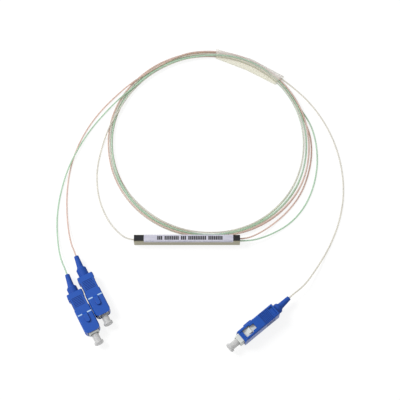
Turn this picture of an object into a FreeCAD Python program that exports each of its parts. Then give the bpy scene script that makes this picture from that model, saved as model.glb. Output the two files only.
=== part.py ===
import FreeCAD, Part
import math
import os

from FreeCAD import Placement, Rotation, Vector

# Fibre optic splitter: one input fibre, a steel splitter tube, two output fibres.
# Millimetres. The origin is under the middle of the steel tube, +X runs along the
# tube to its output end, +Z is up and everything lies on the plane z = 0.

# Steel tube and what it holds
tube_length = 60.0
tube_width = 4.0
tube_height = 7.0
tube_wall = 0.4
tube_corner = 0.5
seal_length = 4.0
seal_recess = 0.3
seal_gap = 0.03
chip_length = 10.0
chip_width = 2.2
chip_height = 2.4
block_length = 6.0
pad_length = 18.0
pad_height = 1.8
bare_fibre_diameter = 0.25
bare_fibre_pitch = 0.25
bare_fibre_gap = 0.02

# Label film and end bands on the tube's upper face
label_inset_in = 5.6
label_inset_out = 3.9
label_wrap = 1.5
film_thickness = 0.08
film_gap = 0.02
band_width = 3.4

# Fibre cords
cord_diameter = 0.9
cord_sides = 6
cord_clearance = 0.1
cord_insert = 3.0
cord_exit = 2.5
output_spacing = 1.2
arc_share = 0.45

# Coil of all three cords, and the film sleeve on it
coil_centre = (11.9, 61.8)
coil_outer_centre = (12.0, 62.1)
coil_outer_radius = 59.6
coil_width = 4.4
coil_height = 2.6
coil_edge = 0.6
sleeve_centre = (11.9, 61.3)
sleeve_width = 6.85
sleeve_height = 3.3
sleeve_film = 0.15
sleeve_corner = 0.9
sleeve_start_angle = 43.0
sleeve_end_angle = 85.0
sleeve_slack = 0.15

# Push-pull plug, in its own frame: +X to the mating end from the back of the grip,
# +Z to the key
grip_length = 25.0
grip_width = 9.0
grip_height = 7.4
grip_cavity_width = 6.4
grip_cavity_height = 6.3
grip_front_round = 2.3
grip_rear_round = 0.5
grip_bevel = 0.6
grip_travel = 2.5
key_width = 2.4
key_height = 1.05
key_start = 13.6
key_end = 19.3
key_ramp = 0.8
window_front = 22.5
window_step = 17.5
window_rear = 14.9
window_wide = 4.6
window_narrow = 3.2
window_sill_depth = 0.55
window_sill_length = 1.6
rib_pitch = 0.85
rib_groove = 0.42
side_rib_count = 7
side_rib_start = 3.9
side_rib_depth = 0.3
side_waist = 0.35
flange_width = 9.3
panel_start = 1.1
panel_end = 3.3
panel_depth = 0.85
panel_height = 5.2
top_rib_count = 7
top_rib_start = 3.3
top_rib_depth = 0.2
top_rib_width = 6.0

# Plug frame inside the grip. The lengths below are for a grip that is pushed fully
# forward on its frame.
frame_clearance = 0.25
frame_rear = 6.9
frame_setback = 0.3
frame_edge = 0.7
frame_front_edge = 0.3
frame_bore = 4.7
ramp_front = 18.3
ramp_length = 2.6
ramp_height = 0.95
ramp_width = 2.9
lug_length = 1.5
lug_width = 2.0
lug_height = 0.65
lug_clearance = 0.1
lug_rear = 10.1

# Ferrule, its collar and its spring
ferrule_diameter = 2.5
ferrule_setback = 0.2
ferrule_chamfer = 0.25
ferrule_bond = 0.02
ferrule_hole_clearance = 0.25
ferrule_travel = 1.5
shoulder_length = 1.2
collar_front = 13.5
collar_length = 3.2
collar_flats = 3.9
ferrule_seat_depth = 2.2
tail_diameter = 1.9
tail_bore = 1.1
tail_rear = 2.5
spring_wire = 0.42
spring_mean_diameter = 2.85
spring_turns = 5.0
spring_end_gap = 0.1

# Rear body and boot
rear_sleeve_clearance = 0.1
rear_sleeve_wall = 0.42
rear_ring_diameter = 5.7
rear_ring_length = 1.4
rear_neck_diameter = 3.8
rear_neck_length = 6.0
rear_seat = 3.5
rear_bore_clearance = 0.1
snap_width = 1.8
snap_length = 0.8
snap_height = 0.35
snap_clearance = 0.1
boot_collar_diameter = 5.8
boot_collar_rear = -5.0
boot_flare_length = 1.6
boot_shoulder_length = 0.5
boot_shoulder_share = 0.88
boot_cone_base = 3.6
boot_tip_diameter = 2.6
boot_length = 8.2
boot_step = 0.3
boot_turn_diameter = 1.4
boot_turn_length = 0.6
boot_turn_air = 0.1
boot_gap = 0.3
boot_fit = 0.05

# Dust cap on the ferrule
cap_bore_clearance = 0.1
cap_neck_diameter = 3.9
cap_inside = 8.8
cap_outside = 6.3
cap_flange_diameter = 5.2
cap_flange_length = 1.5
cap_flange_round = 0.35
cap_air = 1.2

# Where each plug lies: the back of its grip, its heading in degrees, the turn about
# its own axis (0 lies on the face behind the key, 90 on a window face), how far its
# grip is drawn back on the frame, and how far its cord bends the boot, in degrees
in_plug_place = (48.96, -41.85)
in_plug_heading = 219.9
in_plug_turn = 90.0
in_grip_drawn = 2.5
in_boot_bend = 4.0
out_a_plug_place = (-57.18, -21.99)
out_a_plug_heading = -62.6
out_a_grip_drawn = 0.0
out_a_boot_bend = -6.0
out_b_plug_place = (-62.67, -31.8)
out_b_plug_heading = -62.4
out_b_grip_drawn = 1.3
out_b_boot_bend = -8.0
out_plug_turn = 0.0

# Sizes worked out from the ones above
tube_inner_width = tube_width - 2 * tube_wall
tube_inner_height = tube_height - 2 * tube_wall
tube_mid_z = tube_height / 2
tube_end = tube_length / 2
cord_radius = cord_diameter / 2
cord_hole_radius = cord_radius + cord_clearance
output_y = output_spacing / 2
label_start = label_inset_in - tube_end
label_end = tube_end - label_inset_out
coil_inner_radius = coil_outer_radius - coil_width
sleeve_inner_radius = coil_inner_radius - sleeve_slack
block_end = chip_length / 2 + block_length
frame_front = grip_length - frame_setback
frame_width = grip_cavity_width - 2 * frame_clearance
frame_height = grip_cavity_height - 2 * frame_clearance
shoulder_front = collar_front + shoulder_length
collar_rear = collar_front - collar_length
ferrule_tip = frame_front - ferrule_setback
ferrule_rear = collar_front - ferrule_seat_depth
rear_sleeve_diameter = frame_bore - 2 * rear_sleeve_clearance
rear_sleeve_front = collar_rear - ferrule_travel - rear_sleeve_clearance
rear_ring_rear = frame_rear - rear_ring_length
rear_neck_end = rear_ring_rear - rear_neck_length
boot_front = rear_ring_rear - boot_gap
boot_tip = boot_collar_rear - boot_length
coil_base = sleeve_film + sleeve_slack

# Cord routes: straight runs between these points, joined by arcs. The first point
# is inside the hole that the cord leaves, and the coil's end is inside the coil.
in_lead_route = [
    (-tube_end + cord_insert, 0.0, tube_mid_z),
    (-33.0, 0.0, tube_mid_z),
    (-39.4, 4.6, 2.5),
    (-46.2, 13.6, 0.9),
    (-51.6, 27.0, cord_radius),
    (-53.1, 43.0, cord_radius),
    (-50.4, 58.5, cord_radius),
    (-46.0, 71.8, 2.0),
    (-41.2, 81.0, 2.2),
]
out_a_lead_route = [
    (tube_end - cord_insert, output_y, tube_mid_z),
    (33.0, output_y, tube_mid_z),
    (39.6, 3.5, 2.4),
    (47.6, 9.0, 0.9),
    (57.4, 17.6, cord_radius),
    (65.8, 28.8, cord_radius),
    (70.6, 41.6, cord_radius),
    (73.0, 54.2, cord_radius),
    (72.4, 67.0, cord_radius),
    (67.6, 79.8, cord_radius),
]
out_b_lead_route = [
    (tube_end - cord_insert, -output_y, tube_mid_z),
    (33.0, -output_y, tube_mid_z),
    (40.0, 0.6, 2.7),
    (48.6, 4.4, 1.2),
    (58.8, 10.6, cord_radius),
    (67.4, 20.4, cord_radius),
    (73.2, 33.2, cord_radius),
    (76.0, 47.0, cord_radius),
    (75.8, 60.6, cord_radius),
    (73.0, 73.2, cord_radius),
    (67.0, 83.4, cord_radius),
]
in_tail_rest = [
    (66.0, -26.8, 3.6),
    (73.0, -16.6, 1.7),
    (80.6, -4.2, cord_radius),
    (86.8, 10.4, cord_radius),
    (90.4, 26.6, cord_radius),
    (90.4, 42.6, cord_radius),
    (87.4, 58.6, cord_radius),
    (81.6, 73.6, cord_radius),
    (73.2, 87.0, cord_radius),
    (63.4, 97.2, 0.6),
    (54.2, 104.6, 1.1),
    (46.2, 109.3, 1.1),
]
out_a_tail_rest = [
    (-66.0, -1.5, 2.9),
    (-68.2, 9.0, 1.3),
    (-69.6, 22.0, cord_radius),
    (-69.4, 37.4, cord_radius),
    (-66.8, 52.4, cord_radius),
    (-61.4, 66.6, cord_radius),
    (-53.2, 80.2, cord_radius),
    (-42.8, 92.0, cord_radius),
    (-33.0, 100.4, 2.0),
    (-23.5, 107.0, 2.2),
]
out_b_tail_rest = [
    (-71.6, -10.6, 2.9),
    (-73.8, 0.8, 1.3),
    (-74.9, 15.0, cord_radius),
    (-73.4, 30.0, cord_radius),
    (-69.6, 44.4, 1.5),
    (-65.0, 55.4, 1.5),
    (-58.0, 69.0, cord_radius),
    (-48.8, 81.2, cord_radius),
    (-39.4, 90.8, 2.0),
    (-30.6, 98.2, 2.2),
]


def save(shape, name):
    solids = shape.Solids
    if len(solids) != 1 or not shape.isValid():
        print("check", name, "solids", len(solids), "valid", shape.isValid())
    shape.exportStep("parts/" + name + ".step")


def block(x0, x1, width, height, y_mid=0.0, z_mid=0.0):
    corner = Vector(x0, y_mid - width / 2, z_mid - height / 2)
    return Part.makeBox(x1 - x0, width, height, corner)


def rod(diameter, x0, x1, y_mid=0.0, z_mid=0.0):
    return Part.makeCylinder(diameter / 2, x1 - x0, Vector(x0, y_mid, z_mid), Vector(1, 0, 0))


def edges_along(shape, direction):
    found = []
    for edge in shape.Edges:
        if abs(edge.tangentAt(edge.FirstParameter).dot(direction)) > 0.999:
            found.append(edge)
    return found


def round_bar(x0, x1, width, height, corner, z_mid):
    bar = block(x0, x1, width, height, 0.0, z_mid)
    return bar.makeFillet(corner, edges_along(bar, Vector(1, 0, 0)))


def turned(profile):
    # A closed profile of (x, radius) points, turned about the X axis
    points = [Vector(x, 0, radius) for x, radius in profile]
    face = Part.Face(Part.makePolygon(points + points[:1]))
    return face.revolve(Vector(0, 0, 0), Vector(1, 0, 0), 360)


def mirrored(shape, normal):
    return shape.mirror(Vector(0, 0, 0), normal)


# Splitter tube

def steel_tube():
    # Drawn rectangular stainless tube, open at both ends
    outer = round_bar(-tube_end, tube_end, tube_width, tube_height, tube_corner, tube_mid_z)
    inner_corner = tube_corner - tube_wall
    inner = round_bar(-tube_end, tube_end, tube_inner_width, tube_inner_height, inner_corner, tube_mid_z)
    return outer.cut(inner)


def end_seal(side, hole_places):
    # Cured sealant in the tube's end, with a hole for each cord
    outside = side * (tube_end - seal_recess)
    inside = outside - side * seal_length
    width = tube_inner_width - 2 * seal_gap
    height = tube_inner_height - 2 * seal_gap
    corner = tube_corner - tube_wall - seal_gap
    seal = round_bar(min(outside, inside), max(outside, inside), width, height, corner, tube_mid_z)
    for y_mid in hole_places:
        hole = rod(2 * cord_hole_radius, -tube_end, tube_end, y_mid, tube_mid_z)
        seal = seal.cut(hole)
    return seal


def splitter_chip():
    # Silica chip that holds the waveguide
    return block(-chip_length / 2, chip_length / 2, chip_width, chip_height, 0.0, tube_mid_z)


def fibre_block(side):
    # Glass block that holds the bare fibres against the chip, its lid set back
    inner = side * chip_length / 2
    outer = side * block_end
    base = block(min(inner, outer), max(inner, outer), chip_width, chip_height, 0.0, tube_mid_z)
    step_outer = side * block_end
    step_inner = side * (block_end - block_length / 3)
    step_height = chip_height / 2 - bare_fibre_diameter / 2
    step = block(
        min(step_inner, step_outer),
        max(step_inner, step_outer),
        chip_width,
        step_height,
        0.0,
        tube_mid_z + chip_height / 2 - step_height / 2,
    )
    return base.cut(step)


def glue_pad():
    # Soft pad that carries the chip and its blocks on the tube's inner wall
    wall_y = -tube_inner_width / 2
    chip_y = -chip_width / 2
    return block(
        -pad_length / 2,
        pad_length / 2,
        chip_y - wall_y,
        pad_height,
        (chip_y + wall_y) / 2,
        tube_mid_z,
    )


def bare_fibre(side, outer_y, inner_y):
    # Bare fibre from the cord's end to its block
    start = Vector(side * (tube_end - cord_insert - bare_fibre_gap), outer_y, tube_mid_z)
    end = Vector(side * (block_end + bare_fibre_gap), inner_y, tube_mid_z)
    run = end.sub(start)
    return Part.makeCylinder(bare_fibre_diameter / 2, run.Length, start, run)


def label():
    # Printed film label on the upper face, its long edges turned down the sides
    outer = round_bar(
        label_start,
        label_end,
        tube_width + 2 * (film_gap + film_thickness),
        tube_height + 2 * (film_gap + film_thickness),
        tube_corner + film_gap + film_thickness,
        tube_mid_z,
    )
    inner = round_bar(
        label_start,
        label_end,
        tube_width + 2 * film_gap,
        tube_height + 2 * film_gap,
        tube_corner + film_gap,
        tube_mid_z,
    )
    top = block(label_start, label_end, 2 * tube_width, 2 * label_wrap, 0.0, tube_height)
    return outer.cut(inner).common(top)


def end_band(x0, x1):
    # Black film on the bare end of the upper face
    return block(x0, x1, band_width, film_thickness, 0.0, tube_height + film_gap + film_thickness / 2)


# Cords, coil and sleeve

def route_wire(points, name):
    places = [Vector(*point) for point in points]
    edges = []
    radii = []
    last = places[0]
    for before, corner, after in zip(places, places[1:], places[2:]):
        back = before.sub(corner)
        ahead = after.sub(corner)
        reach = arc_share * min(back.Length, ahead.Length)
        back.normalize()
        ahead.normalize()
        turn = math.pi - back.getAngle(ahead)
        radius = reach / math.tan(turn / 2)
        middle = back.add(ahead)
        middle.normalize()
        inset = math.hypot(radius, reach) - radius
        start = corner.add(back.multiply(reach))
        end = corner.add(ahead.multiply(reach))
        edges.append(Part.LineSegment(last, start).toShape())
        edges.append(Part.Arc(start, corner.add(middle.multiply(inset)), end).toShape())
        radii.append(round(radius, 1))
        last = end
    edges.append(Part.LineSegment(last, places[-1]).toShape())
    wire = Part.Wire(edges)
    print(name, "length", round(wire.Length, 1), "radii", radii)
    return wire


def cord(points, name):
    # Loose-tube fibre: a section with a few sides keeps the long sweep light
    wire = route_wire(points, name)
    start = Vector(*points[0])
    ahead = Vector(*points[1]).sub(start)
    turn = Rotation(Vector(0, 0, 1), ahead)
    corners = []
    for index in range(cord_sides + 1):
        angle = 2 * math.pi * index / cord_sides
        corner = Vector(cord_radius * math.cos(angle), cord_radius * math.sin(angle), 0)
        corners.append(start.add(turn.multVec(corner)))
    section = Part.Face(Part.makePolygon(corners))
    shape = wire.makePipe(section)
    print(name, "volume over section times length", round(shape.Volume / section.Area / wire.Length, 4))
    return shape


def fibre_coil():
    # The outer shape of all the turns that lie together, wider at the far side
    outer = Part.makeCylinder(coil_outer_radius, coil_height, Vector(*coil_outer_centre, coil_base))
    inner = Part.makeCylinder(coil_inner_radius, coil_height, Vector(*coil_centre, coil_base))
    ring = outer.cut(inner)
    rims = [edge for edge in ring.Edges if edge.Curve.TypeId == "Part::GeomCircle"]
    return ring.makeChamfer(coil_edge, rims)


def sleeve_section(inset):
    # Flattened loop with bevelled corners, in the plane through the coil's axis
    near = sleeve_inner_radius + inset
    far = sleeve_inner_radius + sleeve_width - inset
    low = inset
    high = sleeve_height - inset
    bevel = sleeve_corner - inset * (2 - math.sqrt(2))
    points = [
        (near + bevel, low),
        (far - bevel, low),
        (far, low + bevel),
        (far, high - bevel),
        (far - bevel, high),
        (near + bevel, high),
        (near, high - bevel),
        (near, low + bevel),
        (near + bevel, low),
    ]
    return Part.Face(Part.makePolygon([Vector(x, 0, z) for x, z in points]))


def coil_sleeve():
    # Thin clear film round the coil, open at both ends
    face = sleeve_section(0.0).cut(sleeve_section(sleeve_film)).Faces[0]
    span = sleeve_end_angle - sleeve_start_angle
    sleeve = face.revolve(Vector(0, 0, 0), Vector(0, 0, 1), span)
    sleeve.rotate(Vector(0, 0, 0), Vector(0, 0, 1), sleeve_start_angle)
    sleeve.translate(Vector(*sleeve_centre, 0))
    return sleeve


# Push-pull plug

def grip_outside():
    # Bevelled bar with a round-cornered front, and a slightly wider flange at its rear
    body = block(panel_end, grip_length, grip_width, grip_height)
    front = [edge for edge in edges_along(body, Vector(0, 0, 1)) if edge.CenterOfMass.x > panel_end]
    body = body.makeFillet(grip_front_round, front)
    bar = block(panel_end, grip_length, grip_width, grip_height)
    bar = bar.makeChamfer(grip_bevel, edges_along(bar, Vector(1, 0, 0)))
    flange = block(0, panel_end, flange_width, grip_height)
    rear = [edge for edge in edges_along(flange, Vector(0, 0, 1)) if edge.CenterOfMass.x < panel_end]
    outline = flange.makeFillet(grip_rear_round, rear)
    flange = flange.makeChamfer(grip_bevel, edges_along(flange, Vector(1, 0, 0)))
    return body.common(bar).fuse(flange.common(outline))


def grip_side_cuts():
    # Window, stop slot, waist, ribs and thumb panel of the side at +Y
    face_y = grip_width / 2
    wall = (grip_width - grip_cavity_width) / 2
    mid_y = face_y - wall / 2
    deep = 2 * wall
    wide = block(window_step, window_front, deep, window_wide, mid_y)
    narrow = block(window_rear, window_step, deep, window_narrow, mid_y)
    sill_y = face_y - window_sill_depth / 2
    sill = block(
        window_front,
        window_front + window_sill_length,
        window_sill_depth,
        window_wide,
        sill_y,
    )
    slot_width = lug_width + 4 * lug_clearance
    slot_front = lug_rear + lug_length + grip_travel + lug_clearance
    slot_depth = lug_height - frame_clearance + 2 * lug_clearance
    slot_y = grip_cavity_width / 2 + slot_depth / 2
    slot = block(lug_rear - lug_clearance, slot_front, slot_depth, slot_width, slot_y)
    rib_end = side_rib_start + side_rib_count * rib_pitch
    waist = block(panel_end, rib_end, side_waist, grip_height, face_y - side_waist / 2)
    panel_y = (flange_width - panel_depth) / 2
    panel = block(panel_start, panel_end, panel_depth, panel_height, panel_y)
    cuts = [narrow, sill, slot, waist, panel]
    groove_y = face_y - side_waist - side_rib_depth / 2
    for index in range(side_rib_count):
        x0 = side_rib_start + index * rib_pitch
        cuts.append(block(x0, x0 + rib_groove, side_rib_depth, grip_height, groove_y))
    return wide.fuse(cuts)


def grip_top_cuts():
    # Finger ribs of the wide face at +Z
    groove_z = grip_height / 2 - top_rib_depth / 2
    cuts = []
    for index in range(top_rib_count):
        x0 = top_rib_start + index * rib_pitch
        cuts.append(block(x0, x0 + rib_groove, top_rib_width, top_rib_depth, 0.0, groove_z))
    return Part.makeCompound(cuts)


def grip_key():
    # Raised key, round at the front and ramped at the back
    face_z = grip_height / 2
    radius = key_width / 2
    bar = block(key_start, key_end - radius, key_width, key_height, 0.0, face_z + key_height / 2)
    nose = Part.makeCylinder(radius, key_height, Vector(key_end - radius, 0, face_z))
    key = bar.fuse(nose).removeSplitter()
    top_z = face_z + key_height
    ramp = Part.makePolygon([
        Vector(key_start, -radius, face_z),
        Vector(key_start + key_ramp, -radius, top_z),
        Vector(key_start, -radius, top_z),
        Vector(key_start, -radius, face_z),
    ])
    return key.cut(Part.Face(ramp).extrude(Vector(0, key_width, 0)))


def grip():
    # Moulded outer housing that slides on the plug frame
    body = grip_outside()
    body = body.cut(block(0, grip_length, grip_cavity_width, grip_cavity_height))
    side = grip_side_cuts()
    body = body.cut(side)
    body = body.cut(mirrored(side, Vector(0, 1, 0)))
    top = grip_top_cuts()
    body = body.cut(top)
    body = body.cut(mirrored(top, Vector(0, 0, 1)))
    return body.fuse(grip_key()).removeSplitter()


def frame_ramp():
    # Slanted catch that an adapter's latch rides over, seen through the window
    root_y = frame_width / 2
    half = ramp_width / 2
    outline = Part.makePolygon([
        Vector(ramp_front, root_y - frame_edge, -half),
        Vector(ramp_front, root_y, -half),
        Vector(ramp_front - ramp_length, root_y + ramp_height, -half),
        Vector(ramp_front - ramp_length, root_y - frame_edge, -half),
        Vector(ramp_front, root_y - frame_edge, -half),
    ])
    return Part.Face(outline).extrude(Vector(0, 0, ramp_width))


def frame_lug():
    # Stop lug that runs in the grip's slot
    height = lug_height + frame_edge
    mid_y = frame_width / 2 + lug_height - height / 2
    return block(lug_rear, lug_rear + lug_length, height, lug_width, mid_y)


def plug_frame():
    # Moulded inner frame with the square nose that enters an adapter
    body = block(frame_rear, frame_front, frame_width, frame_height)
    body = body.makeChamfer(frame_edge, edges_along(body, Vector(1, 0, 0)))
    nose = [edge for edge in body.Edges if abs(edge.BoundBox.XMin - frame_front) < 1e-6]
    body = body.makeChamfer(frame_front_edge, nose)
    for feature in (frame_ramp(), frame_lug()):
        body = body.fuse(feature)
        body = body.fuse(mirrored(feature, Vector(0, 1, 0)))
    ferrule_hole = ferrule_diameter + 2 * ferrule_hole_clearance
    body = body.cut(rod(frame_bore, shoulder_front, frame_front + 1))
    body = body.cut(rod(frame_bore, frame_rear - 1, collar_front))
    body = body.cut(rod(ferrule_hole, frame_rear, frame_front))
    catch = block(
        rear_snap_rear() - snap_clearance,
        rear_snap_rear() + snap_length + snap_clearance,
        snap_width + 2 * snap_clearance,
        2 * frame_height,
    )
    return body.cut(catch).removeSplitter()


def rear_snap_rear():
    return rear_sleeve_front - snap_clearance - snap_length


def ferrule():
    # Ground zirconia ferrule
    radius = ferrule_diameter / 2
    return turned([
        (ferrule_rear, 0.0),
        (ferrule_rear, radius),
        (ferrule_tip - ferrule_chamfer, radius),
        (ferrule_tip, radius - ferrule_chamfer),
        (ferrule_tip, 0.0),
    ])


def ferrule_collar():
    # Six-sided collar pressed on the ferrule, with the tail that guides the spring
    corner_radius = collar_flats / math.sqrt(3)
    points = []
    for index in range(7):
        angle = math.radians(60 * index)
        points.append(Vector(collar_rear, corner_radius * math.cos(angle), corner_radius * math.sin(angle)))
    head = Part.Face(Part.makePolygon(points)).extrude(Vector(collar_length, 0, 0))
    body = head.fuse(rod(tail_diameter, tail_rear, collar_front))
    body = body.cut(rod(ferrule_diameter + 2 * ferrule_bond, ferrule_rear - ferrule_bond, collar_front))
    return body.cut(rod(tail_bore, tail_rear, collar_front)).removeSplitter()


def ferrule_spring():
    # Coil spring that pushes the ferrule forward
    start = rear_seat + spring_end_gap + spring_wire / 2
    end = collar_rear - spring_end_gap - spring_wire / 2
    pitch = (end - start) / spring_turns
    helix = Part.makeHelix(pitch, end - start, spring_mean_diameter / 2)
    inner = (spring_mean_diameter - spring_wire) / 2
    outer = (spring_mean_diameter + spring_wire) / 2
    half = spring_wire / 2
    section = Part.makePolygon([
        Vector(inner, 0, -half),
        Vector(outer, 0, -half),
        Vector(outer, 0, half),
        Vector(inner, 0, half),
        Vector(inner, 0, -half),
    ])
    shape = Part.Wire(helix.Edges).makePipeShell([section], True, True)
    shape.rotate(Vector(0, 0, 0), Vector(0, 1, 0), 90)
    shape.translate(Vector(start, 0, 0))
    return shape


def rear_body():
    # Turned stop ring: its sleeve snaps into the frame and seats the spring
    sleeve_radius = rear_sleeve_diameter / 2
    spring_bore = sleeve_radius - rear_sleeve_wall
    tail_hole = tail_diameter / 2 + rear_bore_clearance
    body = turned([
        (rear_neck_end, tail_hole),
        (rear_neck_end, rear_neck_diameter / 2),
        (rear_ring_rear, rear_neck_diameter / 2),
        (rear_ring_rear, rear_ring_diameter / 2),
        (frame_rear, rear_ring_diameter / 2),
        (frame_rear, sleeve_radius),
        (rear_sleeve_front, sleeve_radius),
        (rear_sleeve_front, spring_bore),
        (rear_seat, spring_bore),
        (rear_seat, tail_hole),
    ])
    tab_height = snap_height + rear_sleeve_wall / 2
    tab_z = sleeve_radius + snap_height - tab_height / 2
    tab = block(rear_snap_rear(), rear_snap_rear() + snap_length, snap_width, tab_height, 0.0, tab_z)
    return body.fuse([tab, mirrored(tab, Vector(0, 0, 1))]).removeSplitter()


def boot(lean):
    # Soft boot on the rear body's neck: its tapered end leans the way the cord pulls
    collar = boot_collar_diameter / 2
    shoulder = boot_shoulder_share * collar
    shoulder_end = boot_collar_rear - boot_shoulder_length
    front = turned([
        (shoulder_end, 0.0),
        (shoulder_end, shoulder),
        (boot_collar_rear, collar),
        (boot_front, collar),
        (boot_front, 0.0),
    ])
    taper = turned([
        (boot_tip, 0.0),
        (boot_tip, boot_tip_diameter / 2),
        (boot_collar_rear - boot_flare_length, boot_cone_base / 2),
        (shoulder_end, shoulder - boot_step),
        (boot_collar_rear, shoulder - boot_step),
        (boot_collar_rear, 0.0),
    ])
    neck_end = rear_neck_end - boot_fit
    neck = rod(rear_neck_diameter + 2 * boot_fit, neck_end, boot_front)
    bore = rod(2 * cord_hole_radius, boot_collar_rear, neck_end)
    leaning_bore = rod(2 * cord_hole_radius, boot_tip, boot_collar_rear)
    turn_rear = boot_collar_rear - boot_turn_length
    turn = rod(boot_turn_diameter, turn_rear, boot_collar_rear + boot_turn_air)
    body = front.fuse(moved(taper, lean))
    body = body.cut(neck).cut(turn).cut(bore)
    return body.cut(moved(leaning_bore, lean)).removeSplitter()


def dust_cap():
    # Translucent cap pushed on the ferrule, with a flange to pull it by
    bore = ferrule_diameter / 2 + cap_bore_clearance
    neck = cap_neck_diameter / 2
    flange = cap_flange_diameter / 2
    rear = frame_front - cap_inside
    front = frame_front + cap_outside
    flange_rear = front - cap_flange_length
    return turned([
        (rear, bore),
        (rear, neck),
        (flange_rear, neck),
        (flange_rear, flange),
        (front - cap_flange_round, flange),
        (front, flange - cap_flange_round),
        (front, 0.0),
        (ferrule_tip + cap_air, 0.0),
        (ferrule_tip + cap_air, bore),
    ])


def plug_placement(place, heading, turn):
    height = (flange_width if turn else grip_height) / 2
    about_axis = Rotation(Vector(1, 0, 0), turn)
    about_up = Rotation(Vector(0, 0, 1), heading)
    return Placement(Vector(*place, height), about_up.multiply(about_axis))


def drawn_placement(placement, drawn):
    # The frame and all that is fixed to it, where the grip is drawn back on them
    return placement.multiply(Placement(Vector(drawn, 0, 0), Rotation()))


def boot_lean(placement, bend):
    # Turns a boot's tapered end about the upright line through the back of its collar
    upright = placement.Rotation.inverted().multVec(Vector(0, 0, 1))
    return Placement(Vector(0, 0, 0), Rotation(upright, bend), Vector(boot_collar_rear, 0, 0))


def moved(shape, placement):
    piece = shape.copy()
    piece.Placement = placement.multiply(shape.Placement)
    return piece


def boot_route(inner, lean, rest):
    # A cord starts inside its boot, leaves it straight, and follows the rest
    inside = inner.multVec(lean.multVec(Vector(boot_tip + cord_insert, 0, 0)))
    outside = inner.multVec(lean.multVec(Vector(boot_tip - cord_exit, 0, 0)))
    return [tuple(inside), tuple(outside)] + rest


def main():
    os.makedirs("parts", exist_ok=True)
    save(steel_tube(), "steel_tube")
    save(end_seal(-1, [0.0]), "end_seal_in")
    save(end_seal(1, [output_y, -output_y]), "end_seal_out")
    save(splitter_chip(), "splitter_chip")
    save(fibre_block(-1), "input_fibre_block")
    save(fibre_block(1), "output_fibre_block")
    save(glue_pad(), "glue_pad")
    save(bare_fibre(-1, 0.0, 0.0), "bare_fibre_in")
    save(bare_fibre(1, output_y, bare_fibre_pitch / 2), "bare_fibre_out_a")
    save(bare_fibre(1, -output_y, -bare_fibre_pitch / 2), "bare_fibre_out_b")
    save(label(), "label")
    save(end_band(-tube_end, label_start), "end_band_in")
    save(end_band(label_end, tube_end), "end_band_out")

    save(fibre_coil(), "fibre_coil")
    save(coil_sleeve(), "coil_sleeve")
    save(cord(in_lead_route, "in_lead"), "in_lead")
    save(cord(out_a_lead_route, "out_a_lead"), "out_a_lead")
    save(cord(out_b_lead_route, "out_b_lead"), "out_b_lead")

    in_place = plug_placement(in_plug_place, in_plug_heading, in_plug_turn)
    out_a_place = plug_placement(out_a_plug_place, out_a_plug_heading, out_plug_turn)
    out_b_place = plug_placement(out_b_plug_place, out_b_plug_heading, out_plug_turn)
    plugs = [
        ("in", in_place, in_grip_drawn, in_boot_bend, in_tail_rest),
        ("out_a", out_a_place, out_a_grip_drawn, out_a_boot_bend, out_a_tail_rest),
        ("out_b", out_b_place, out_b_grip_drawn, out_b_boot_bend, out_b_tail_rest),
    ]
    pieces = {
        "plug_frame": plug_frame(),
        "ferrule": ferrule(),
        "ferrule_collar": ferrule_collar(),
        "spring": ferrule_spring(),
        "rear_body": rear_body(),
        "dust_cap": dust_cap(),
    }
    for prefix, place, drawn, bend, rest in plugs:
        inner = drawn_placement(place, drawn)
        lean = boot_lean(place, bend)
        save(moved(grip(), place), prefix + "_grip")
        save(moved(boot(lean), inner), prefix + "_boot")
        for name, shape in pieces.items():
            save(moved(shape, inner), prefix + "_" + name)
        save(cord(boot_route(inner, lean, rest), prefix + "_tail"), prefix + "_tail")


main()
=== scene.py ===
import math

import bpy
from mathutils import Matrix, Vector


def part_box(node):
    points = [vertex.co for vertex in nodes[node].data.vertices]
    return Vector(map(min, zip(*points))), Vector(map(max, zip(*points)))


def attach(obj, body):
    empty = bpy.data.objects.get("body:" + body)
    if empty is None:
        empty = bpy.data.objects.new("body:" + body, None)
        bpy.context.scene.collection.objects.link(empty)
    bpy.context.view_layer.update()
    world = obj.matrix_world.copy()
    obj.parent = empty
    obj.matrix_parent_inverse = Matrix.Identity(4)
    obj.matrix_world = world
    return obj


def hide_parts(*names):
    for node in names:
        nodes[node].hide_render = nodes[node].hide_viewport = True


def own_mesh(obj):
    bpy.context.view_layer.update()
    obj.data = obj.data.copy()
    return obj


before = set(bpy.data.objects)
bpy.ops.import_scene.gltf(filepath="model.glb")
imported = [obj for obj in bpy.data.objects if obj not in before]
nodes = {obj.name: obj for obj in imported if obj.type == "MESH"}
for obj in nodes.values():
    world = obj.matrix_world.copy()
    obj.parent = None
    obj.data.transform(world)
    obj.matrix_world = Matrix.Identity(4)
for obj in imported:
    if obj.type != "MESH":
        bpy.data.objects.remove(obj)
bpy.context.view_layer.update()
scene = bpy.context.scene
MM = 0.001


# Camera. It looks down at the coil from the front with a long lens, so that the coil
# keeps its round shape and the plugs show a little of their near sides.

camera_aim = Vector((7.35, 25.6, 0.0)) * MM
camera_distance = 700.0 * MM
camera_elevation = math.radians(69.0)
camera_data = bpy.data.cameras.new("camera")
camera_data.sensor_width = 36.0
camera_data.lens = 109.1
camera_data.clip_start = 0.01
camera_data.clip_end = 20.0
camera = bpy.data.objects.new("camera", camera_data)
scene.collection.objects.link(camera)
camera.rotation_euler = (math.pi / 2 - camera_elevation, 0.0, 0.0)
camera.location = camera_aim + Vector((
    0.0,
    -camera_distance * math.cos(camera_elevation),
    camera_distance * math.sin(camera_elevation),
))
scene.camera = camera


# Fibre cords. Each is a 0.9 mm loose tube of soft, slightly see-through plastic with a
# bare fibre in it. One runs from the splitter tube to each plug, and on the way all
# three are wound together a little more than twice. The free stretches lie loose.

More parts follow.
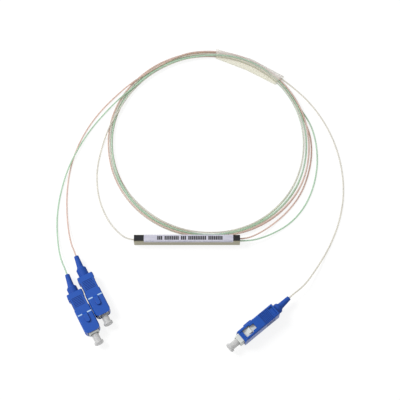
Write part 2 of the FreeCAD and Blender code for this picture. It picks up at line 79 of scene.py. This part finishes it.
def linear(hex_value):
    """A colour read as an sRGB hex value, turned to the linear light that shaders use."""
    channels = [int(hex_value[i:i + 2], 16) / 255 for i in (1, 3, 5)]
    straight = [c / 12.92 if c <= 0.04045 else ((c + 0.055) / 1.055) ** 2.4 for c in channels]
    return (*straight, 1.0)


def add_node(material, kind, values=None, **settings):
    """One shader node, its settings, and its inputs as values or as links from other sockets."""
    tree = material.node_tree
    node = tree.nodes.new(kind)
    for name, value in settings.items():
        setattr(node, name, value)
    for name, value in (values or {}).items():
        socket = node.inputs[name]
        if isinstance(value, bpy.types.NodeSocket):
            tree.links.new(value, socket)
        else:
            socket.default_value = value
    return node


def new_material(name):
    """A material with no nodes in it yet."""
    material = bpy.data.materials.new(name)
    material.use_nodes = True
    material.node_tree.nodes.clear()
    return material


def finish_material(material, surface):
    """Leads the finished surface to the material's output."""
    output = add_node(material, "ShaderNodeOutputMaterial")
    material.node_tree.links.new(surface, output.inputs["Surface"])
    return material


def uneven(material, sizes, detail=2.0, roughness=0.5):
    """A factor that varies in spots as long along X, Y and Z as the sizes in millimetres."""
    where = add_node(material, "ShaderNodeTexCoord").outputs["Object"]
    spots = add_node(material, "ShaderNodeMapping", {
        "Vector": where,
        "Scale": [1 / (MM * size) for size in sizes],
    })
    noise = add_node(material, "ShaderNodeTexNoise", {
        "Vector": spots.outputs["Vector"],
        "Scale": 1.0,
        "Detail": detail,
        "Roughness": roughness,
    })
    return noise.outputs["Fac"]


def two_tone(material, factor, dark, light, start=0.35, end=0.65):
    """A colour that goes from dark to light as the factor goes from start to end."""
    ramp = add_node(material, "ShaderNodeValToRGB", {"Fac": factor})
    ramp.color_ramp.elements[0].position = start
    ramp.color_ramp.elements[0].color = linear(dark)
    ramp.color_ramp.elements[1].position = end
    ramp.color_ramp.elements[1].color = linear(light)
    return ramp.outputs["Color"]


def extruded_jacket(name, dark, light, inner):
    # Soft extruded plastic: an even tint with faint clouds some 8 mm long, a narrow
    # gloss line along the top, and a warmer light that comes through from behind
    material = new_material(name)
    clouds = uneven(material, (8.33, 8.33, 8.33), detail=3.0)
    skin = add_node(material, "ShaderNodeBsdfPrincipled", {
        "Base Color": two_tone(material, clouds, dark, light),
        "Roughness": 0.38,
        "IOR": 1.46,
    })
    through = add_node(material, "ShaderNodeBsdfTranslucent", {"Color": linear(inner)})
    mix = add_node(material, "ShaderNodeMixShader", {
        "Fac": 0.55,
        1: skin.outputs["BSDF"],
        2: through.outputs["BSDF"],
    })
    return finish_material(material, mix.outputs["Shader"])


# Cord routes in millimetres, from the splitter tube to the coil and from each plug's
# boot to the coil
in_lead_route = [
    (-27.0, 0.0, 3.5),
    (-33.0, 0.0, 3.5),
    (-39.4, 4.6, 2.5),
    (-46.2, 13.6, 0.9),
    (-51.6, 27.0, 0.45),
    (-53.1, 43.0, 0.45),
    (-50.4, 58.5, 0.45),
    (-46.0, 71.8, 2.0),
    (-41.2, 81.0, 2.2),
]
out_a_lead_route = [
    (27.0, 0.6, 3.5),
    (33.0, 0.6, 3.5),
    (39.6, 3.5, 2.4),
    (47.6, 9.0, 0.9),
    (57.4, 17.6, 0.45),
    (65.8, 28.8, 0.45),
    (70.6, 41.6, 0.45),
    (73.0, 54.2, 0.45),
    (72.4, 67.0, 0.45),
    (67.6, 79.8, 0.45),
]
out_b_lead_route = [
    (27.0, -0.6, 3.5),
    (33.0, -0.6, 3.5),
    (40.0, 0.6, 2.7),
    (48.6, 4.4, 1.2),
    (58.8, 10.6, 0.45),
    (67.4, 20.4, 0.45),
    (73.2, 33.2, 0.45),
    (76.0, 47.0, 0.45),
    (75.8, 60.6, 0.45),
    (73.0, 73.2, 0.45),
    (67.0, 83.4, 0.45),
]
in_tail_rest = [
    (66.0, -26.8, 3.6),
    (73.0, -16.6, 1.7),
    (80.6, -4.2, 0.45),
    (86.8, 10.4, 0.45),
    (90.4, 26.6, 0.45),
    (90.4, 42.6, 0.45),
    (87.4, 58.6, 0.45),
    (81.6, 73.6, 0.45),
    (73.2, 87.0, 0.45),
    (63.4, 97.2, 0.6),
    (54.2, 104.6, 1.1),
    (46.2, 109.3, 1.1),
]
out_a_tail_rest = [
    (-66.0, -1.5, 2.9),
    (-68.2, 9.0, 1.3),
    (-69.6, 22.0, 0.45),
    (-69.4, 37.4, 0.45),
    (-66.8, 52.4, 0.45),
    (-61.4, 66.6, 0.45),
    (-53.2, 80.2, 0.45),
    (-42.8, 92.0, 0.45),
    (-33.0, 100.4, 2.0),
    (-23.5, 107.0, 2.2),
]
out_b_tail_rest = [
    (-71.6, -10.6, 2.9),
    (-73.8, 0.8, 1.3),
    (-74.9, 15.0, 0.45),
    (-73.4, 30.0, 0.45),
    (-69.6, 44.4, 1.5),
    (-65.0, 55.4, 1.5),
    (-58.0, 69.0, 0.45),
    (-48.8, 81.2, 0.45),
    (-39.4, 90.8, 2.0),
    (-30.6, 98.2, 2.2),
]

# Each plug: where the back of its grip is, in millimetres, the way it points in
# degrees, how far its frame stands forward in the grip, and how far its boot leans
plug_backs = {
    "in": Vector((48.96, -41.85, 4.65)),
    "out_a": Vector((-57.18, -21.99, 3.7)),
    "out_b": Vector((-62.67, -31.8, 3.7)),
}
plug_headings = {"in": 219.9, "out_a": -62.6, "out_b": -62.4}
frame_forward = {"in": 2.5, "out_a": 0.0, "out_b": 1.3}
boot_leans = {"in": 4.0, "out_a": -6.0, "out_b": -8.0}

# Along a plug, from the back of its grip: where its boot bends, and the two points of
# the cord that lie on the boot's axis
boot_bend = -5.0
boot_points = (-10.2, -15.7)


def direction(degrees):
    """The level direction at an angle from the X axis."""
    angle = math.radians(degrees)
    return Vector((math.cos(angle), math.sin(angle), 0.0))


def from_boot(prefix, rest):
    """A cord's points from inside its boot, along the boot's leaning axis, and then the rest."""
    heading = plug_headings[prefix]
    bend = plug_backs[prefix] + (frame_forward[prefix] + boot_bend) * direction(heading)
    leaning = direction(heading + boot_leans[prefix])
    return [tuple(bend + (x - boot_bend) * leaning) for x in boot_points] + rest


# The turns: angle about the coil's centre, lane counted outwards, layer counted
# upwards. Going round, the fibres rise by about one layer a turn, and change lanes
# one after the other.
coil_middle = Vector((11.9, 61.3))
tube_radius = 0.45
lane_pitch = 1.15
middle_lane = 1.0
layer_pitch = 0.9
turn_points = 24
pink_turns = [
    (22, 1.4, 0.0), (44, 0.0, 0.0), (225, 0.0, 0.0), (250, 0.0, 1.0), (290, 2.0, 1.0),
    (308, 2.0, 0.0), (348, 2.0, 0.0), (372, 2.0, 1.0), (485, 2.0, 1.0), (497, 1.9, 0.8),
    (520, 2.0, 0.8), (560, 2.0, 1.0), (590, 2.0, 2.0), (826, 2.0, 2.0),
]
green_turns = [
    (28, 2.1, 0.0), (58, 1.0, 0.0), (255, 1.0, 0.0), (290, 0.0, 0.0), (340, 0.0, 0.0),
    (366, 0.0, 1.0), (522, 0.0, 1.0), (547, 0.0, 2.0), (580, 1.0, 2.0), (760, 1.0, 2.0),
    (785, 1.0, 2.9), (815, -0.8, 2.9), (846, -0.8, 2.3),
]
white_turns = [
    (62, 2.3, 0.3), (80, 2.0, 0.0), (255, 2.0, 0.0), (290, 1.0, 0.0), (342, 1.0, 0.0),
    (366, 1.0, 1.0), (547, 1.0, 1.0), (580, 0.0, 1.0), (605, 0.0, 2.0), (800, 0.0, 2.0),
    (835, -0.8, 1.0), (866, -0.8, 1.0),
]

# The bundle's shape: angle, radius of its middle lane in millimetres, and how far its
# lanes are spread
bundle_shape = [
    (0, 57.7, 1.3), (30, 57.9, 0.95), (60, 58.2, 1.0), (90, 58.3, 1.05), (130, 58.0, 1.0),
    (160, 57.8, 0.95), (185, 57.1, 0.95), (225, 57.0, 1.3), (265, 57.4, 1.0),
    (295, 58.4, 1.1), (330, 58.6, 1.7), (345, 58.0, 1.6), (360, 57.7, 1.3),
]

# The sleeve's film lies under the fibres and lifts them between these angles
lift_from = 30.0
lift_to = 98.0
lift_slope = 12.0
lift_height = 0.2


def between(stations, angle):
    """The values at an angle, between the two stations next to it."""
    for before, after in zip(stations, stations[1:]):
        if angle <= after[0]:
            share = (angle - before[0]) / (after[0] - before[0])
            return [a + share * (b - a) for a, b in zip(before[1:], after[1:])]
    return list(stations[-1][1:])


def sleeve_lift(angle):
    """How far the film lifts the fibres at an angle."""
    rising = (angle - lift_from) / lift_slope
    falling = (lift_to - angle) / lift_slope
    return lift_height * min(max(rising, 0.0), max(falling, 0.0), 1.0)


def coil_turns(stations):
    """Points of one fibre's turns, in millimetres, in the order of its angles."""
    first, last = stations[0][0], stations[-1][0]
    count = round((last - first) * turn_points / 360)
    # A spline through points on a circle runs inside them by this share
    outset = 1 / math.cos(math.pi / turn_points)
    points = []
    for index in range(count + 1):
        angle = first + (last - first) * index / count
        lane, layer = between(stations, angle)
        middle, spread = between(bundle_shape, angle % 360)
        turn = math.radians(angle)
        radius = middle + (lane - middle_lane) * lane_pitch * spread
        x = coil_middle.x + radius * outset * math.cos(turn)
        y = coil_middle.y + radius * outset * math.sin(turn)
        points.append((x, y, tube_radius + layer_pitch * layer + sleeve_lift(angle % 360)))
    return points


def fibre_cord(name, points, material):
    """A round tube along an open spline, with the route's points as its control points."""
    curve = bpy.data.curves.new(name, "CURVE")
    curve.dimensions = "3D"
    curve.resolution_u = 8
    curve.bevel_depth = tube_radius * MM
    curve.bevel_resolution = 2
    curve.use_fill_caps = True
    spline = curve.splines.new("NURBS")
    spline.points.add(len(points) - 1)
    for place, point in zip(spline.points, points):
        place.co = (*[MM * value for value in point], 1.0)
    spline.order_u = 3
    spline.use_endpoint_u = True
    curve.materials.append(material)
    cord = bpy.data.objects.new(name, curve)
    scene.collection.objects.link(cord)
    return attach(cord, "root")


white_jacket = extruded_jacket("white_loose_tube", "#dcdcdf", "#e6e6e8", "#f9f5e6")
pink_jacket = extruded_jacket("pink_loose_tube", "#decfcb", "#e8dcd8", "#f8e2d6")
green_jacket = extruded_jacket("green_loose_tube", "#bfd8d0", "#cce2db", "#e0f1d6")

in_tail = from_boot("in", in_tail_rest)[::-1]
out_a_tail = from_boot("out_a", out_a_tail_rest)[::-1]
out_b_tail = from_boot("out_b", out_b_tail_rest)[::-1]
white_points = in_lead_route + coil_turns(white_turns)[::-1] + in_tail
pink_points = out_a_lead_route + coil_turns(pink_turns) + out_a_tail
green_points = out_b_lead_route + coil_turns(green_turns) + out_b_tail
white_fibre = fibre_cord("input_fibre", white_points, white_jacket)
pink_fibre = fibre_cord("output_fibre_a", pink_points, pink_jacket)
green_fibre = fibre_cord("output_fibre_b", green_points, green_jacket)
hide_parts("in_lead", "in_tail", "fibre_coil")
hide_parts("out_a_lead", "out_a_tail", "fibre_coil")
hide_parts("out_b_lead", "out_b_tail", "fibre_coil")


# Film sleeve. A thin clear film is wrapped round the bundle of fibres on the far side
# of the coil. It is pressed flat by hand, creased in the middle and open at both ends.

# The film is warm up to the first radius about the coil's centre, and pale from the second
warm_radius = 55.5
pale_radius = 59.5


def clear_film():
    # Thin glossy film: mostly see-through, with a milky veil in patches some 5 mm long.
    # It is warmer on its inner half, where no fibre lies in it, and milkier further out.
    material = new_material("clear_film")
    where = add_node(material, "ShaderNodeTexCoord").outputs["Object"]
    from_middle = add_node(material, "ShaderNodeVectorMath", {
        0: where,
        1: (*(MM * coil_middle), 0.0),
    }, operation="DISTANCE")
    outwards = add_node(material, "ShaderNodeMapRange", {
        "Value": from_middle.outputs["Value"],
        "From Min": warm_radius * MM,
        "From Max": pale_radius * MM,
    }).outputs["Result"]
    milkiness = add_node(material, "ShaderNodeMath", {
        0: uneven(material, (5.0, 5.0, 5.0)),
        1: outwards,
    }, operation="ADD")
    share = add_node(material, "ShaderNodeMapRange", {
        "Value": milkiness.outputs["Value"],
        "From Min": 0.3,
        "From Max": 1.6,
        "To Min": 0.16,
        "To Max": 0.34,
    })
    clear = add_node(material, "ShaderNodeBsdfTransparent", {"Color": linear("#fdfdfb")})
    veil = add_node(material, "ShaderNodeBsdfPrincipled", {
        "Base Color": two_tone(material, outwards, "#eeead6", "#fbf7f6", 0.1, 0.9),
        "Roughness": 0.25,
        "IOR": 1.5,
    })
    mix = add_node(material, "ShaderNodeMixShader", {
        "Fac": share.outputs["Result"],
        1: clear.outputs["BSDF"],
        2: veil.outputs["BSDF"],
    })
    return finish_material(material, mix.outputs["Shader"])


def mesh_piece(name, points, faces, material, body="root", smooth=False):
    """A mesh from points in millimetres, on its body."""
    mesh = bpy.data.meshes.new(name)
    mesh.from_pydata([MM * Vector(point) for point in points], [], faces)
    mesh.materials.append(material)
    for polygon in mesh.polygons:
        polygon.use_smooth = smooth
    piece = bpy.data.objects.new(name, mesh)
    scene.collection.objects.link(piece)
    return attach(piece, body)


def skin_of_rings(rings, sides):
    """The faces between rings of points that follow each other, each with as many sides."""
    faces = []
    for here in range(0, (rings - 1) * sides, sides):
        ahead = here + sides
        for side in range(sides):
            beside = (side + 1) % sides
            faces.append((here + side, here + beside, ahead + beside, ahead + side))
    return faces


# At one end, the crease and the other end: angle about the coil's centre, the film's
# inner and outer radius, and its height
sleeve_stations = [(43.0, 55.3, 62.6, 3.2), (64.0, 52.9, 60.7, 3.0), (85.0, 55.6, 61.5, 3.1)]
sleeve_steps = 12
sleeve_sides = 20
film_thickness = 0.05
corner_power = 0.6
wrinkle_share = 0.02
wrinkles = 3.5


def sleeve_ring(angle, inner, outer, height):
    """One flattened loop of the film, across the bundle."""
    outward = direction(angle)
    ring = []
    for side in range(sleeve_sides):
        a = 2 * math.pi * side / sleeve_sides
        across = math.copysign(abs(math.cos(a)) ** corner_power, math.cos(a))
        up = math.copysign(abs(math.sin(a)) ** corner_power, math.sin(a))
        radius = (inner + outer) / 2 + across * (outer - inner) / 2
        place = Vector((*coil_middle, 0.0)) + radius * outward
        ring.append(place + Vector((0.0, 0.0, film_thickness + height / 2 * (1 + up))))
    return ring


sleeve_points = []
for station, next_station in zip(sleeve_stations, sleeve_stations[1:]):
    ring = sleeve_ring(*station)
    next_ring = sleeve_ring(*next_station)
    for step in range(sleeve_steps):
        share = step / sleeve_steps
        wrinkle = wrinkle_share * math.sin(2 * math.pi * wrinkles * share)
        for here, there in zip(ring, next_ring):
            point = here.lerp(there, share)
            sleeve_points.append(point + Vector((0.0, 0.0, wrinkle * point.z)))
sleeve_points.extend(sleeve_ring(*sleeve_stations[-1]))
sleeve_faces = skin_of_rings(len(sleeve_points) // sleeve_sides, sleeve_sides)
sleeve = mesh_piece("film_sleeve", sleeve_points, sleeve_faces, clear_film(), smooth=True)
wall = sleeve.modifiers.new("wall", "SOLIDIFY")
wall.thickness = film_thickness * MM
wall.offset = 0.0
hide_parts("coil_sleeve")


# Splitter chip. A small chip of polished silica divides the light. Glass blocks at both
# its ends hold the bare fibres, and a soft silicone pad carries it on the tube's wall.

def dense_solid(name, dark, light, roughness, grain_size, ior=1.5):
    # Cured, polished or ground solid: even colour, with slight grain as wide as its size
    # in millimetres
    material = new_material(name)
    grain = uneven(material, (grain_size, grain_size, grain_size), detail=4.0)
    bump = add_node(material, "ShaderNodeBump", {
        "Height": grain,
        "Strength": 0.2,
        "Distance": 0.03 * MM,
    })
    shader = add_node(material, "ShaderNodeBsdfPrincipled", {
        "Base Color": two_tone(material, grain, dark, light),
        "Roughness": roughness,
        "IOR": ior,
        "Normal": bump.outputs["Normal"],
    })
    return finish_material(material, shader.outputs["BSDF"])


def dress(node, material):
    """A solid that is shown as it is, in its real finish."""
    nodes[node].data.materials.clear()
    nodes[node].data.materials.append(material)


silica = dense_solid("polished_silica", "#cfd8d6", "#dfe6e4", 0.12, 3.3, 1.46)
silicone = dense_solid("soft_silicone", "#d9cf9f", "#e4dcb4", 0.3, 1.25)
coated_glass = dense_solid("coated_glass_fibre", "#d8cfa8", "#e6dfc0", 0.25, 0.5)
for node in ("splitter_chip", "input_fibre_block", "output_fibre_block"):
    dress(node, silica)
dress("glue_pad", silicone)
for node in ("bare_fibre_in", "bare_fibre_out_a", "bare_fibre_out_b"):
    dress(node, coated_glass)


# Splitter tube. A drawn rectangular stainless tube, brushed along its length, holds the
# splitter chip. Both ends are closed round the cords with grey sealant that cures there.

def brushed_stainless():
    # Bright bands and dark hairlines along the tube, with soft reflections. The lines
    # are 25 mm long and 0.2 mm apart, coarser than the real ones, so that they show.
    material = new_material("brushed_stainless")
    lines = uneven(material, (25.0, 0.2, 0.2), detail=6.0, roughness=0.7)
    rough = add_node(material, "ShaderNodeMapRange", {
        "Value": lines,
        "To Min": 0.28,
        "To Max": 0.45,
    })
    bump = add_node(material, "ShaderNodeBump", {
        "Height": lines,
        "Strength": 0.25,
        "Distance": 0.02 * MM,
    })
    shader = add_node(material, "ShaderNodeBsdfPrincipled", {
        "Base Color": two_tone(material, lines, "#7d7863", "#b0ac94"),
        "Metallic": 1.0,
        "Roughness": rough.outputs["Result"],
        "Normal": bump.outputs["Normal"],
    })
    return finish_material(material, shader.outputs["BSDF"])


dress("steel_tube", brushed_stainless())
sealant = dense_solid("cured_sealant", "#8d8c86", "#a3a29b", 0.6, 0.67)
for node in ("end_seal_in", "end_seal_out"):
    dress(node, sealant)


# Label. A printed film strip is stuck on the tube's upper face and turned down over its
# long edges. The steel that stays bare at both ends is covered with black film as a
# painted reflection: it stands for the dark room that the bare steel mirrors there.

def coated_film(name, dark, light, roughness):
    # Smooth coated film or printed ink: a soft even gloss, and a tint that hardly
    # changes over 3 mm along the tube and 1 mm across it
    material = new_material(name)
    grain = uneven(material, (3.33, 0.83, 0.83))
    shader = add_node(material, "ShaderNodeBsdfPrincipled", {
        "Base Color": two_tone(material, grain, dark, light),
        "Roughness": roughness,
        "IOR": 1.5,
    })
    return finish_material(material, shader.outputs["BSDF"])


dress("label", coated_film("white_label_film", "#bdbccb", "#cac9d6", 0.35))
# Painted reflection: black film in place of the dark room mirrored in the bare steel ends
black_film = coated_film("black_film", "#15161a", "#202127", 0.3)
dress("end_band_in", black_film)
dress("end_band_out", black_film)

# The print is a row of plain strokes in groups, with no letters in it
print_start = -16.8
print_end = 20.3
stroke_width = 0.8
stroke_height = 2.3
group_strokes = (3, 8, 3, 10, 8)
ink_height = 0.01
black_ink = coated_film("black_printing_ink", "#15151a", "#202026", 0.5)
print_step = (print_end - print_start) / (sum(group_strokes) + len(group_strokes) - 1)
print_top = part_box("label")[1].z / MM + ink_height
print_points = []
print_faces = []
stroke_start = print_start
for count in group_strokes:
    for _ in range(count):
        base = len(print_points)
        for x in (stroke_start, stroke_start + stroke_width):
            for y in (-stroke_height / 2, stroke_height / 2):
                print_points.append((x, y, print_top))
        print_faces.append((base, base + 2, base + 3, base + 1))
        stroke_start += print_step
    stroke_start += print_step
label_print = mesh_piece("label_print", print_points, print_faces, black_ink)


# Ferrules. Each plug's fibre ends in a ground zirconia ferrule. It is pressed into a
# six-sided collar of turned and nickel-plated steel, whose tail guides the spring.

def turned_metal(name, dark, light, roughness):
    # Turned or drawn metal with soft reflections and fine marks round it, drawn a sixth
    # of a millimetre apart, coarser than the real ones
    material = new_material(name)
    marks = uneven(material, (1 / 6, 1 / 6, 2.0), detail=3.0)
    shader = add_node(material, "ShaderNodeBsdfPrincipled", {
        "Base Color": two_tone(material, marks, dark, light),
        "Metallic": 1.0,
        "Roughness": roughness,
    })
    return finish_material(material, shader.outputs["BSDF"])


def dress_plugs(part, material):
    """The same part of all three plugs, in its real finish."""
    for prefix in plug_backs:
        dress(prefix + "_" + part, material)


zirconia = dense_solid("ground_zirconia", "#eeeae0", "#f6f3ea", 0.15, 1.0, 2.1)
plated_collar = turned_metal("nickel_plated_collar", "#b9b6ac", "#cfccc2", 0.3)
dress_plugs("ferrule", zirconia)
dress_plugs("ferrule_collar", plated_collar)


# Springs. A coil of round spring wire stands on the stop ring and pushes each ferrule
# forward. In the real plug its front end comes back with the collar when the ferrule is
# pressed; here each coil is drawn at rest as one fixed piece.

# Where its ends are along the plug, and its turns and wire
spring_rear = 3.6
spring_front = 10.2
spring_turns = 5
spring_wire_diameter = 0.42
spring_middle_diameter = 2.85
turn_steps = 20
wire_sides = 8


def coil_spring(prefix, material):
    """A helix of round wire on the plug's axis, closed at both ends."""
    forward = direction(plug_headings[prefix])
    left = direction(plug_headings[prefix] + 90.0)
    axis_start = plug_backs[prefix] + frame_forward[prefix] * forward
    wire_radius = spring_wire_diameter / 2
    rise = spring_front - spring_rear - spring_wire_diameter
    steps = spring_turns * turn_steps
    points = []
    for step in range(steps + 1):
        turn = 2 * math.pi * step / turn_steps
        outward = math.cos(turn) * left + Vector((0.0, 0.0, math.sin(turn)))
        along = spring_rear + wire_radius + rise * step / steps
        middle = axis_start + along * forward + spring_middle_diameter / 2 * outward
        for side in range(wire_sides):
            a = 2 * math.pi * side / wire_sides
            points.append(middle + wire_radius * (math.cos(a) * outward + math.sin(a) * forward))
    faces = skin_of_rings(steps + 1, wire_sides)
    faces.append(tuple(reversed(range(wire_sides))))
    faces.append(tuple(range(steps * wire_sides, (steps + 1) * wire_sides)))
    spring = mesh_piece(prefix + "_coil_spring", points, faces, material, smooth=True)
    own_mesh(spring)
    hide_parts(prefix + "_spring")
    return spring


spring_wire = turned_metal("stainless_spring_wire", "#a9a9a7", "#c4c4c2", 0.25)
springs = {prefix: coil_spring(prefix, spring_wire) for prefix in plug_backs}


# Stop rings. Each is turned from steel and nickel plated. Its sleeve snaps into the plug
# frame from behind and seats the spring, and its neck carries the boot.

plated_ring = turned_metal("nickel_plated_stop_ring", "#b4b2aa", "#cbc9c0", 0.28)
dress_plugs("rear_body", plated_ring)


# Plug frames. The white moulded inner frame holds the ferrule in its square nose, which
# enters an adapter. It shows through the windows of the grip that slides on it.

def moulding(name, painted_shade_colour, dark, light, roughness):
    # Injection-moulded plastic: even colour with painted shade that darkens it in grooves
    # and corners, satin skin with spark grain a third of a millimetre wide, drawn coarser
    # than the real one, and softly rounded edges that catch the light
    material = new_material(name)
    grain = uneven(material, (1 / 3, 1 / 3, 1 / 3), detail=3.0)
    # Painted shade: the colour goes towards the shade colour in grooves and corners, where other
    # surfaces close in within half a millimetre
    shade_occlusion = add_node(material, "ShaderNodeAmbientOcclusion", {"Distance": 0.5 * MM}, samples=8)
    openness = add_node(material, "ShaderNodeMapRange", {
        "Value": shade_occlusion.outputs["AO"],
        "From Min": 0.35,
        "From Max": 0.8,
    })
    # The mix has its two colours in sockets 6 and 7, and gives a colour in its third
    colour = add_node(material, "ShaderNodeMix", {
        "Factor": openness.outputs["Result"],
        6: linear(painted_shade_colour),
        7: two_tone(material, grain, dark, light),
    }, data_type="RGBA").outputs[2]
    edge = add_node(material, "ShaderNodeBevel", {"Radius": 0.12 * MM}, samples=6)
    bump = add_node(material, "ShaderNodeBump", {
        "Height": grain,
        "Strength": 0.12,
        "Distance": 0.03 * MM,
        "Normal": edge.outputs["Normal"],
    })
    shader = add_node(material, "ShaderNodeBsdfPrincipled", {
        "Base Color": colour,
        "Roughness": roughness,
        "IOR": 1.5,
        "Normal": bump.outputs["Normal"],
    })
    return finish_material(material, shader.outputs["BSDF"])


# The first colour is painted shade for the grooves and corners
white_moulding = moulding("white_moulded_plastic", "#8f9590", "#d2d6d2", "#dcdfdb", 0.4)
dress_plugs("plug_frame", white_moulding)


# Grips. The blue moulded outer housing slides on the plug frame, and fingers pull it
# back to release the plug. Two light dashes are printed beside the key on its wide face.

# The darkest blue is painted shade for the grooves and corners
blue_moulding = moulding("blue_moulded_plastic", "#001f78", "#0447a4", "#0850b0", 0.35)
dress_plugs("grip", blue_moulding)

# Where the dashes are along and across the plug, how far above its axis the face with
# the key is, and how far each plug is rolled about its axis
dash_place = 13.8
dash_width = 0.7
dash_inner = 1.5
dash_outer = 4.1
key_face = 3.7
key_face_turn = {"in": 90.0, "out_a": 0.0, "out_b": 0.0}


def on_plug(prefix, x, y, z):
    """A point that is given along, across and above a plug, in the object's millimetres."""
    roll = math.radians(key_face_turn[prefix])
    side = y * math.cos(roll) - z * math.sin(roll)
    up = y * math.sin(roll) + z * math.cos(roll)
    forward = direction(plug_headings[prefix])
    left = direction(plug_headings[prefix] + 90.0)
    return plug_backs[prefix] + x * forward + side * left + Vector((0.0, 0.0, up))


light_ink = coated_film("light_marking_ink", "#9fc0de", "#b4d0e8", 0.5)
for prefix in plug_backs:
    corners = []
    faces = []
    for side in (-1, 1):
        base = len(corners)
        for x in (dash_place - dash_width / 2, dash_place + dash_width / 2):
            for y in sorted((side * dash_inner, side * dash_outer)):
                corners.append(on_plug(prefix, x, y, key_face + ink_height))
        faces.append((base, base + 2, base + 3, base + 1))
    mesh_piece(prefix + "_grip_marks", corners, faces, light_ink, prefix + "_grip")


# Boots. A soft blue elastomer sleeve is pushed on the stop ring's neck, and its tapered
# end leans the way the cord pulls it.

# The darkest blue is painted shade for the grooves and corners of the boot
blue_elastomer = moulding("blue_elastomer", "#001f78", "#04409a", "#0848a4", 0.75)
dress_plugs("boot", blue_elastomer)


# Dust caps. A soft translucent polyethylene cap is pushed on each ferrule, with a
# flange to pull it off by.

def translucent_polyethylene():
    # Soft moulded plastic with faint clouds a millimetre wide: light passes through it
    # blurred, so that the ferrule inside shows faintly
    material = new_material("translucent_polyethylene")
    clouds = uneven(material, (1.0, 1.0, 1.0))
    colour = two_tone(material, clouds, "#dadadb", "#e3e3e2")
    skin = add_node(material, "ShaderNodeBsdfPrincipled", {
        "Base Color": colour,
        "Roughness": 0.35,
        "IOR": 1.45,
    })
    through = add_node(material, "ShaderNodeBsdfTranslucent", {"Color": colour})
    clear = add_node(material, "ShaderNodeBsdfTransparent", {"Color": linear("#f4f4f0")})
    milky = add_node(material, "ShaderNodeMixShader", {
        "Fac": 0.35,
        1: skin.outputs["BSDF"],
        2: through.outputs["BSDF"],
    })
    mix = add_node(material, "ShaderNodeMixShader", {
        "Fac": 0.12,
        1: milky.outputs["Shader"],
        2: clear.outputs["BSDF"],
    })
    return finish_material(material, mix.outputs["Shader"])


dress_plugs("dust_cap", translucent_polyethylene())


# Finished cords. Each leaves the splitter tube through its seal and ends in its plug.
# The lengths are the real ones, turns and all.


# Floor and light. The object lies on a pale matt table top. One large soft lamp stands
# high on the left, and an even white studio lights the rest.

floor_edge = 2.0
floor_gap = 0.02
floor_mesh = bpy.data.meshes.new("floor")
floor_corners = [
    (-floor_edge, -floor_edge, 0.0),
    (floor_edge, -floor_edge, 0.0),
    (floor_edge, floor_edge, 0.0),
    (-floor_edge, floor_edge, 0.0),
]
floor_mesh.from_pydata(floor_corners, [], [(0, 1, 2, 3)])
floor = bpy.data.objects.new("floor", floor_mesh)
floor.location.z = -floor_gap * MM
scene.collection.objects.link(floor)


def white_table():
    # Matt white table top that keeps the object's soft shadow. It looks white from
    # above and in what metal and clear plastic show of it.
    material = new_material("white_table")
    paper = add_node(material, "ShaderNodeBsdfDiffuse", {"Color": linear("#f2f2f2")})
    glow = add_node(material, "ShaderNodeEmission", {"Color": linear("#ffffff"), "Strength": 1.08})
    path = add_node(material, "ShaderNodeLightPath")
    mirrored = add_node(material, "ShaderNodeMath", {
        0: path.outputs["Is Glossy Ray"],
        1: path.outputs["Is Transmission Ray"],
    }, operation="MAXIMUM")
    shown = add_node(material, "ShaderNodeMath", {
        0: path.outputs["Is Camera Ray"],
        1: mirrored.outputs["Value"],
    }, operation="MAXIMUM")
    seen = add_node(material, "ShaderNodeMath", {
        0: shown.outputs["Value"],
        1: 0.78,
    }, operation="MULTIPLY")
    surface = add_node(material, "ShaderNodeMixShader", {
        "Fac": seen.outputs["Value"],
        1: paper.outputs["BSDF"],
        2: glow.outputs["Emission"],
    })
    return finish_material(material, surface.outputs["Shader"])


floor_mesh.materials.append(white_table())

lamp_data = bpy.data.lights.new("softbox", "AREA")
lamp_data.shape = "DISK"
lamp_data.size = 0.5
lamp_data.energy = 9.0
lamp = bpy.data.objects.new("softbox", lamp_data)
scene.collection.objects.link(lamp)
lamp.location = (-0.68, 0.25, 0.75)
lamp.rotation_euler = (-lamp.location).to_track_quat("-Z", "Y").to_euler()

world = bpy.data.worlds.new("studio")
world.use_nodes = True
scene.world = world
world_light = world.node_tree.nodes["Background"]
world_light.inputs["Color"].default_value = linear("#ffffff")
world_light.inputs["Strength"].default_value = 0.5

scene.view_settings.view_transform = "Standard"
